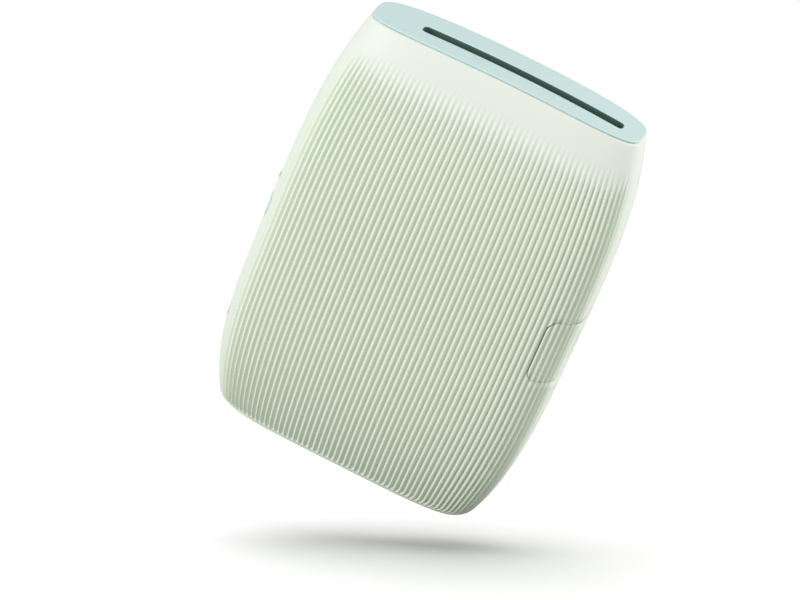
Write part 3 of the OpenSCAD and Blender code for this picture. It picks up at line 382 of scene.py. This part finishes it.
def slot_outline(widen):
    """The slot's rounded outline, grown by widen on all sides, with extra points along the arch."""
    low_x, high_x = slot_ends[0] - widen, slot_ends[1] + widen
    low_y, high_y = slot_sides[0] - widen, slot_sides[1] + widen
    radius = slot_corner + widen
    left, right = low_x + radius, high_x - radius
    front, back = low_y + radius, high_y - radius
    centres = [(right, back, 0), (left, back, 90), (left, front, 180), (right, front, 270)]
    outline = []
    for x, y, start in centres:
        for turn in steps(start, start + 90, corner_steps):
            turned = math.radians(turn)
            outline.append((x + radius * math.cos(turned), y + radius * math.sin(turned)))
        if start == 0:
            outline += [(x_along, high_y) for x_along in steps(right, left, side_steps)[1:-1]]
        if start == 180:
            outline += [(x_along, low_y) for x_along in steps(left, right, side_steps)[1:-1]]
    return outline + outline[:1]


flare_rows = [(-0.4, -0.4), (-0.4, 0.0), (-0.22, 0.01), (-0.1, 0.05)]
flare_rows += [(-0.03, 0.12), (0.0, 0.2), (0.6, 0.22), (0.6, 0)]
flare_rings = []
for rise, grow in flare_rows:
    flare_rings.append([(x, y, arched(x, height) - lid_drop + rise) for x, y in slot_outline(grow)])
flare_columns = len(flare_rings[0]) - 1
flare = wrapped_grid("slot_flare", flare_columns, len(flare_rows) - 1, lambda c, r: flare_rings[r][c])
print("slot flare:", len(flare.polygons), "faces")

# %% [markdown]
# Seven parts show on the outside. Each is cut with the skin it belongs to, stands in for its CAD node,
# rides on the same body and names the finish it takes. The edge of the base cover has the colour of the
# shells.

# %% The case parts
case_parts = (
    ("front_housing", ribbed_skin, "case", "shell"),
    ("door_latch", ribbed_skin, "door_latch", "shell"),
    ("rear_housing", smooth_skin, "case", "shell"),
    ("film_door", smooth_skin, "film_door", "shell"),
    ("film_window", smooth_skin, "film_door", "window"),
    ("base_cover", smooth_skin, "case", "shell"),
    ("top_cap", smooth_skin, "case", "cap"),
)
dressed = {}
for node, tool, body, slot_name in case_parts:
    shape = combined(node + "_skin", merged_copy(node), tool, "INTERSECT")
    if node == "top_cap":
        shape = combined(node + "_skin", shape, flare, "DIFFERENCE")
    piece = finished(node + "_skin", shape)
    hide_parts(node)
    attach(piece, body)
    dressed[node] = (piece, slot_name)

# %% [markdown]
# A coil spring pushes the film claw back. In the CAD model it is a plain tube of the right size. A coil is
# one small circle of wire, spun round the spring's axis while it climbs.

# %% The claw's spring
low, high = (Vector(corner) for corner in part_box("claw_spring"))
wire_radius = 0.25 * MM
wire_sides = 8
coil_radius = (high.x - low.x) / 2 - wire_radius
coil_turns = 9
steps_per_turn = 20
climb = high.z - low.z - 2 * wire_radius
spring_axis = Vector(((low.x + high.x) / 2, (low.y + high.y) / 2, 0))
wire_start = spring_axis + Vector((coil_radius, 0, low.z + wire_radius))
bm = bmesh.new()
across = Matrix.Translation(wire_start) @ Matrix.Rotation(math.radians(90), 4, "X")
bmesh.ops.create_circle(bm, cap_ends=False, segments=wire_sides, radius=wire_radius, matrix=across)
coil_steps = coil_turns * steps_per_turn
bmesh.ops.spin(
    bm, geom=bm.verts[:] + bm.edges[:], cent=spring_axis, axis=(0, 0, 1), dvec=(0, 0, climb / coil_steps),
    angle=2 * math.pi * coil_turns, steps=coil_steps, use_merge=False,
)
bmesh.ops.holes_fill(bm, edges=bm.edges[:], sides=wire_sides)
bmesh.ops.recalc_face_normals(bm, faces=bm.faces)
spring_mesh = bpy.data.meshes.new("claw_spring_coil")
bm.to_mesh(spring_mesh)
bm.free()
claw_coil = finished("claw_spring_coil", spring_mesh)
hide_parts("claw_spring")
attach(claw_coil, "case")
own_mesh(claw_coil)
dressed["claw_spring"] = (claw_coil, "steel")
coil_levels = [vert.co.z / MM for vert in claw_coil.data.vertices]
coil_span = [round(min(coil_levels), 2), round(max(coil_levels), 2)]
print("the coil's ends, mm:", coil_span, "radius, mm:", round(coil_radius / MM, 2))

# %% [markdown]
# The finishes are procedural. Three effects come back in several of them, so each is a node group with its
# own inputs: a fine grain for moulded plastic, a slow drift of the tint, and long scratches for brushed
# metal. All of them read Object coordinates, which stay with the piece when it moves.


# %% Helpers for node groups
def new_group(name, inputs, outputs):
    """An empty shader node group with its sockets."""
    group = bpy.data.node_groups.new(name, "ShaderNodeTree")
    for label, kind, value in inputs:
        socket = group.interface.new_socket(label, in_out="INPUT", socket_type=kind)
        if value is not None:
            socket.default_value = value
    for label, kind in outputs:
        group.interface.new_socket(label, in_out="OUTPUT", socket_type=kind)
    start = group.nodes.new("NodeGroupInput")
    end = group.nodes.new("NodeGroupOutput")
    return group, start, end


def add_noise(group, vector, scale, detail, roughness=0.5):
    """A noise texture in a group; scale is a number or a socket."""
    noise = group.nodes.new("ShaderNodeTexNoise")
    noise.inputs["Detail"].default_value = detail
    noise.inputs["Roughness"].default_value = roughness
    if isinstance(scale, (int, float)):
        noise.inputs["Scale"].default_value = scale
    else:
        group.links.new(scale, noise.inputs["Scale"])
    group.links.new(vector, noise.inputs["Vector"])
    return noise.outputs["Fac"]


def add_math(group, operation, first, second=None, third=None):
    """A Math node; each input is a number or a socket."""
    node = group.nodes.new("ShaderNodeMath")
    node.operation = operation
    for place, value in enumerate((first, second, third)):
        if value is None:
            continue
        if isinstance(value, (int, float)):
            node.inputs[place].default_value = value
        else:
            group.links.new(value, node.inputs[place])
    return node.outputs[0]


FLOAT, COLOUR, VECTOR = "NodeSocketFloat", "NodeSocketColor", "NodeSocketVector"
print("socket kinds:", FLOAT, COLOUR, VECTOR)

# %% The grain of moulded plastic
slow_scale = 90.0
fine_share = 0.4
grain_group, start, end = new_group(
    "moulded_grain",
    (
        ("Vector", VECTOR, None),
        ("Scale", FLOAT, 2600.0),
        ("Roughness", FLOAT, 0.45),
        ("Spread", FLOAT, 0.08),
    ),
    (("Height", FLOAT), ("Roughness", FLOAT)),
)
fine = add_noise(grain_group, start.outputs["Vector"], start.outputs["Scale"], 2.0)
slow = add_noise(grain_group, start.outputs["Vector"], slow_scale, 3.0)
grain_group.links.new(fine, end.inputs["Height"])
fine_part = add_math(grain_group, "MULTIPLY", fine, fine_share)
slow_part = add_math(grain_group, "MULTIPLY", slow, 1 - fine_share)
mixed = add_math(grain_group, "ADD", fine_part, slow_part)
about_zero = add_math(grain_group, "SUBTRACT", mixed, 0.5)
offset = add_math(grain_group, "MULTIPLY", about_zero, start.outputs["Spread"])
rough = add_math(grain_group, "ADD", offset, start.outputs["Roughness"])
grain_group.links.new(rough, end.inputs["Roughness"])
print(grain_group.name, "has", len(grain_group.nodes), "nodes")

# %% The drift of the tint
speck_scale = 1500.0
blotch_share = 0.75
drift_group, start, end = new_group(
    "tint_drift",
    (
        ("Vector", VECTOR, None),
        ("Colour", COLOUR, (0.8, 0.8, 0.8, 1)),
        ("Other", COLOUR, (0.7, 0.7, 0.7, 1)),
        ("Scale", FLOAT, 30.0),
    ),
    (("Colour", COLOUR),),
)
blotch = add_noise(drift_group, start.outputs["Vector"], start.outputs["Scale"], 3.0)
speck = add_noise(drift_group, start.outputs["Vector"], speck_scale, 1.0)
blotch_part = add_math(drift_group, "MULTIPLY", blotch, blotch_share)
speck_part = add_math(drift_group, "MULTIPLY", speck, 1 - blotch_share)
share = add_math(drift_group, "ADD", blotch_part, speck_part)
blend = drift_group.nodes.new("ShaderNodeMix")
blend.data_type = "RGBA"
drift_group.links.new(share, blend.inputs["Factor"])
drift_group.links.new(start.outputs["Colour"], blend.inputs["A"])
drift_group.links.new(start.outputs["Other"], blend.inputs["B"])
drift_group.links.new(blend.outputs["Result"], end.inputs["Colour"])
print(drift_group.name, "has", len(drift_group.nodes), "nodes")

# %% The lines of brushed metal
brush_group, start, end = new_group(
    "brushed_lines",
    (
        ("Vector", VECTOR, None),
        ("Stretch", VECTOR, (60.0, 3000.0, 3000.0)),
        ("Roughness", FLOAT, 0.3),
        ("Spread", FLOAT, 0.25),
    ),
    (("Height", FLOAT), ("Roughness", FLOAT)),
)
stretched = brush_group.nodes.new("ShaderNodeVectorMath")
stretched.operation = "MULTIPLY"
brush_group.links.new(start.outputs["Vector"], stretched.inputs[0])
brush_group.links.new(start.outputs["Stretch"], stretched.inputs[1])
lines = add_noise(brush_group, stretched.outputs[0], 1.0, 3.0)
brush_group.links.new(lines, end.inputs["Height"])
about_zero = add_math(brush_group, "SUBTRACT", lines, 0.5)
offset = add_math(brush_group, "MULTIPLY", about_zero, start.outputs["Spread"])
rough = add_math(brush_group, "ADD", offset, start.outputs["Roughness"])
brush_group.links.new(rough, end.inputs["Roughness"])
print(brush_group.name, "has", len(brush_group.nodes), "nodes")

# %% [markdown]
# A finish is a Principled shader with one colour that drifts slightly into another, and either grain or
# brushed lines for its roughness and bump. The colours are the moulded colours themselves, but for two
# places further down: a painted highlight on the top band and painted shade in the slot.


# %% One finish
relief_height = 0.00004


def finish(
    name, colour, other, roughness, spread=0.08, grain=2600.0, bump=0.1, drift=30.0, stretch=None, **sockets
):
    """A material. sockets are constant values of the shader's own sockets, with _ for a blank."""
    material = bpy.data.materials.new(name)
    material.use_nodes = True
    tree = material.node_tree
    shader = tree.nodes["Principled BSDF"]
    place = tree.nodes.new("ShaderNodeTexCoord").outputs["Object"]
    tint = tree.nodes.new("ShaderNodeGroup")
    tint.node_tree = drift_group
    tint.inputs["Colour"].default_value = (*colour, 1)
    tint.inputs["Other"].default_value = (*other, 1)
    tint.inputs["Scale"].default_value = drift
    surface = tree.nodes.new("ShaderNodeGroup")
    surface.node_tree = brush_group if stretch else grain_group
    surface.inputs["Roughness"].default_value = roughness
    surface.inputs["Spread"].default_value = spread
    if stretch:
        surface.inputs["Stretch"].default_value = stretch
    else:
        surface.inputs["Scale"].default_value = grain
    relief = tree.nodes.new("ShaderNodeBump")
    relief.inputs["Strength"].default_value = bump
    relief.inputs["Distance"].default_value = relief_height
    tree.links.new(place, tint.inputs["Vector"])
    tree.links.new(place, surface.inputs["Vector"])
    tree.links.new(tint.outputs["Colour"], shader.inputs["Base Color"])
    tree.links.new(surface.outputs["Roughness"], shader.inputs["Roughness"])
    tree.links.new(surface.outputs["Height"], relief.inputs["Height"])
    tree.links.new(relief.outputs["Normal"], shader.inputs["Normal"])
    for label, value in sockets.items():
        shader.inputs[label.replace("_", " ")].default_value = value
    return material


# %% [markdown]
# There is one finish for each material slot of the CAD record, from the pale green shell to the amber of
# the film window. They are kept by the name of their slot, so that a node finds its own.

# %% The finishes
along_x, all_ways = (80.0, 4000.0, 4000.0), (900.0, 1400.0, 1100.0)
finishes = {
    "shell": finish(
        "pale_green_shell", (0.79, 0.865, 0.735), (0.765, 0.845, 0.71), 0.5,
        Specular_IOR_Level=0.35,
    ),
    "cap": finish("aqua_cap", (0.61, 0.79, 0.78), (0.585, 0.77, 0.765), 0.46, Specular_IOR_Level=0.4),
    "dark_plastic": finish("dark_plastic", (0.022, 0.024, 0.026), (0.034, 0.036, 0.038), 0.5, bump=0.2),
    "rubber": finish(
        "black_rubber", (0.016, 0.017, 0.018), (0.03, 0.03, 0.03), 0.78,
        grain=4200.0, bump=0.35,
    ),
    "steel": finish(
        "brushed_steel", (0.56, 0.57, 0.58), (0.48, 0.49, 0.5), 0.32, 0.2,
        stretch=along_x, Metallic=1.0,
    ),
    "brass": finish(
        "sintered_brass", (0.66, 0.47, 0.2), (0.54, 0.36, 0.14), 0.36, 0.2,
        stretch=all_ways, Metallic=1.0,
    ),
    "nylon": finish("milky_nylon", (0.78, 0.76, 0.7), (0.7, 0.67, 0.6), 0.4, Subsurface_Weight=0.1),
    "window": finish(
        "amber_window", (0.42, 0.11, 0.015), (0.36, 0.085, 0.01), 0.16, 0.04,
        bump=0.02, Transmission_Weight=0.75,
    ),
    "clear": finish(
        "clear_plastic", (0.93, 0.95, 0.95), (0.88, 0.91, 0.91), 0.1, 0.04,
        bump=0.02, Transmission_Weight=0.9,
    ),
    "board": finish(
        "green_board", (0.015, 0.11, 0.05), (0.025, 0.16, 0.07), 0.34,
        drift=600.0, bump=0.15, Coat_Weight=0.3,
    ),
    "foil": finish(
        "battery_foil", (0.5, 0.51, 0.52), (0.4, 0.41, 0.43), 0.3, 0.2,
        stretch=all_ways, bump=0.3, Metallic=0.9,
    ),
    "lead": finish("red_lead", (0.5, 0.02, 0.015), (0.38, 0.015, 0.01), 0.42),
    "flex": finish("amber_flex", (0.5, 0.2, 0.03), (0.4, 0.15, 0.02), 0.32, drift=200.0, Coat_Weight=0.2),
}
print("finishes:", ", ".join(sorted(finishes)))

# %% [markdown]
# The smooth band above the ribs is painted paler and less green than the rest of the shell, a painted
# highlight where the top catches the light. The tint rises with the height of a point, which Object
# coordinates give, so nothing has to be cut.

# %% The painted highlight of the top band
band_start, band_full = 0.100, 0.119
# Painted highlight: the band's colour is paler and more neutral where the top of the shell catches the
# light.
painted_highlight_colour = (0.802, 0.852, 0.768, 1)
tree = finishes["shell"].node_tree
point = tree.nodes.new("ShaderNodeSeparateXYZ")
tree.links.new(tree.nodes["Texture Coordinate"].outputs["Object"], point.inputs[0])
painted_highlight_band = tree.nodes.new("ShaderNodeMapRange")
painted_highlight_band.interpolation_type = "SMOOTHSTEP"
painted_highlight_band.inputs["From Min"].default_value = band_start
painted_highlight_band.inputs["From Max"].default_value = band_full
tree.links.new(point.outputs["Z"], painted_highlight_band.inputs["Value"])
painted_highlight_mix = tree.nodes.new("ShaderNodeMix")
painted_highlight_mix.data_type = "RGBA"
painted_highlight_mix.inputs["B"].default_value = painted_highlight_colour
shell_colour = tree.nodes["Principled BSDF"].inputs["Base Color"]
tree.links.new(painted_highlight_band.outputs["Result"], painted_highlight_mix.inputs["Factor"])
tree.links.new(shell_colour.links[0].from_socket, painted_highlight_mix.inputs["A"])
tree.links.new(painted_highlight_mix.outputs["Result"], shell_colour)
print("the band's tint rises between", band_start, "and", band_full, "m")

# %% [markdown]
# Each CAD node takes the finish of its own slot, and each dressed piece the finish that its row in the
# table of case parts names.

# %% Painting
for part in frame["record"]["subparts"]:
    part_slots = frame["nodes"][part["node"]].material_slots
    for part_slot in part_slots:
        part_slot.material = finishes[part["material_slot"]]
    if not len(part_slots):
        print(part["node"], "has no material slot")
for piece, slot_name in dressed.values():
    piece.data.materials.clear()
    piece.data.materials.append(finishes[slot_name])

# %% [markdown]
# Inside the slot the walls are the cap's own mint in shade. That shade is painted: the walls of the slot
# get a material slot of their own, a deep green, from just below the softened rim down.

# %% The painted shade in the slot
# Painted shade: a deep green on the slot's walls stands in for the shade that falls inside the slot.
slot_painted_shade = finish("slot_painted_shade", (0.075, 0.15, 0.122), (0.065, 0.13, 0.106), 0.55, bump=0.2)
slot_margin = 0.06
painted_shade_drop = 0.12
lid = dressed["top_cap"][0].data
lid.materials.append(slot_painted_shade)
painted_shade_faces = 0
for face in lid.polygons:
    x, y, z = (c / MM for c in face.center)
    along = slot_ends[0] - slot_margin < x < slot_ends[1] + slot_margin
    across = slot_sides[0] - slot_margin < y < slot_sides[1] + slot_margin
    if along and across and z < arched(x, height) - painted_shade_drop:
        face.material_index = 1
        painted_shade_faces += 1
print("faces in the slot:", painted_shade_faces)

# %% [markdown]
# The printer floats over a white floor and leaves a soft shadow under its lowest corner. The floor is
# square to the picture's own upright, leaning a little towards the camera, and white. It is clear from
# below, so that it never hides the printer.

# %% The floor
floor_lean = math.radians(9)
floor_radius = 0.33
floor_sides = 96
floor_gap = 0.009
low_corners = ((0.0369, -0.006, 0.002), (0.034, -0.0095, 0.001))
floor_up = (camera_up * math.cos(floor_lean) + camera_back * math.sin(floor_lean)).normalized()
floor_side = camera_right
floor_along = floor_up.cross(floor_side).normalized()
lowest = min(Vector(corner).dot(floor_up) for corner in low_corners)
floor_place = floor_up * (lowest - floor_gap)
bm = bmesh.new()
bmesh.ops.create_circle(bm, cap_ends=True, segments=floor_sides, radius=floor_radius)
turned = Matrix((floor_side, floor_along, floor_up)).transposed().to_4x4()
bmesh.ops.transform(bm, matrix=Matrix.Translation(floor_place) @ turned, verts=bm.verts)
floor_mesh = bpy.data.meshes.new("floor")
bm.to_mesh(floor_mesh)
bm.free()
floor = bpy.data.objects.new("floor", floor_mesh)
scene.collection.objects.link(floor)
floor_normal = [round(c, 3) for c in floor_mesh.polygons[0].normal]
print("floor normal:", floor_normal, "lowest corner at mm", round(lowest / MM, 1))

# %% [markdown]
# A white floor would throw as much light up as a lamp. So the floor's colour is bright only for the rays
# that see it, and darker for the rays that carry light to the printer. Light Path tells the two apart. The
# world round the printer does the same.


# %% The white of the floor
def seen_ray(tree):
    """1 for what the camera sees straight, in a reflection or through glass."""
    path = tree.nodes.new("ShaderNodeLightPath")
    either = add_math(tree, "MAXIMUM", path.outputs["Is Camera Ray"], path.outputs["Is Glossy Ray"])
    return add_math(tree, "MAXIMUM", either, path.outputs["Is Transmission Ray"])


floor_white = 0.36
seen_white = 1.2
floor_paint = bpy.data.materials.new("white_floor")
floor_paint.use_nodes = True
tree = floor_paint.node_tree
tree.nodes.remove(tree.nodes["Principled BSDF"])
matt = tree.nodes.new("ShaderNodeBsdfDiffuse")
white = add_math(tree, "MULTIPLY_ADD", seen_ray(tree), seen_white - floor_white, floor_white)
tree.links.new(white, matt.inputs["Color"])
clear = tree.nodes.new("ShaderNodeBsdfTransparent")
choose = tree.nodes.new("ShaderNodeMixShader")
tree.links.new(tree.nodes.new("ShaderNodeNewGeometry").outputs["Backfacing"], choose.inputs[0])
tree.links.new(matt.outputs[0], choose.inputs[1])
tree.links.new(clear.outputs[0], choose.inputs[2])
tree.links.new(choose.outputs[0], tree.nodes["Material Output"].inputs["Surface"])
floor_mesh.materials.append(floor_paint)
print("floor white:", floor_white, "seen:", seen_white)

# %% The world
world = bpy.data.worlds.new("studio")
scene.world = world
world.use_nodes = True
tree = world.node_tree
room_light = 0.45
backdrop = tree.nodes["Background"]
backdrop.inputs["Color"].default_value = (1, 1, 1, 1)
strength = add_math(tree, "MULTIPLY_ADD", seen_ray(tree), 1 - room_light, room_light)
tree.links.new(strength, backdrop.inputs["Strength"])
print("room light:", room_light)

# %% [markdown]
# The light is plain and soft. One large lamp on the left, in front, gives the ribs their bright and dark
# sides. One on the right lights the right flank, and a third, to the right of the camera, fills the front
# and the cap. With the light of the room, their levels make the colours come out about as they are written.
# The floor has a lamp of its own, nearly straight above it, so that one soft shadow lies under the printer
# and none runs off to a side: light linking says which lamp reaches what.


# %% The lamps
printer_middle = Vector((0, 0, 0.06))


def soft_lamp(name, direction, distance, size, level, lit, state):
    """A square area lamp aimed at the printer's middle; level is the light on a face turned to it."""
    data = bpy.data.lights.new(name, "AREA")
    data.size = size
    data.energy = level * (math.pi * distance) ** 2
    lamp = bpy.data.objects.new(name, data)
    scene.collection.objects.link(lamp)
    towards = direction.normalized()
    turn = towards.to_track_quat("Z", "Y").to_matrix().to_4x4()
    lamp.matrix_world = Matrix.Translation(printer_middle + towards * distance) @ turn
    lamp.light_linking.receiver_collection = lit
    lit.collection_objects[0].light_linking.link_state = state


def floor_only(name):
    """A collection with just the floor, for light linking."""
    collection = bpy.data.collections.new(name)
    collection.objects.link(floor)
    return collection


from_left = camera_right * -0.74 + camera_up * 0.24 + camera_back * 0.63
from_right = camera_right * 0.96 + camera_up * 0.25 - camera_back * 0.1
from_front = camera_right * 0.82 + camera_up * 0.15 + camera_back * 0.55
from_above = floor_up - camera_right * 0.12 + camera_back * 0.05
all_but_floor = floor_only("all_but_floor")
lamp_distance, lamp_size = 1.2, 0.5
for name, direction, level in (
    ("left_lamp", from_left, 0.62),
    ("right_lamp", from_right, 0.33),
    ("front_lamp", from_front, 0.35),
):
    soft_lamp(name, direction, lamp_distance, lamp_size, level, all_but_floor, "EXCLUDE")
only_floor = floor_only("only_floor")
high_distance, high_size, high_level = 1.7, 1.7, 0.72
soft_lamp("floor_lamp", from_above, high_distance, high_size, high_level, only_floor, "INCLUDE")
scene.view_settings.view_transform = "Standard"
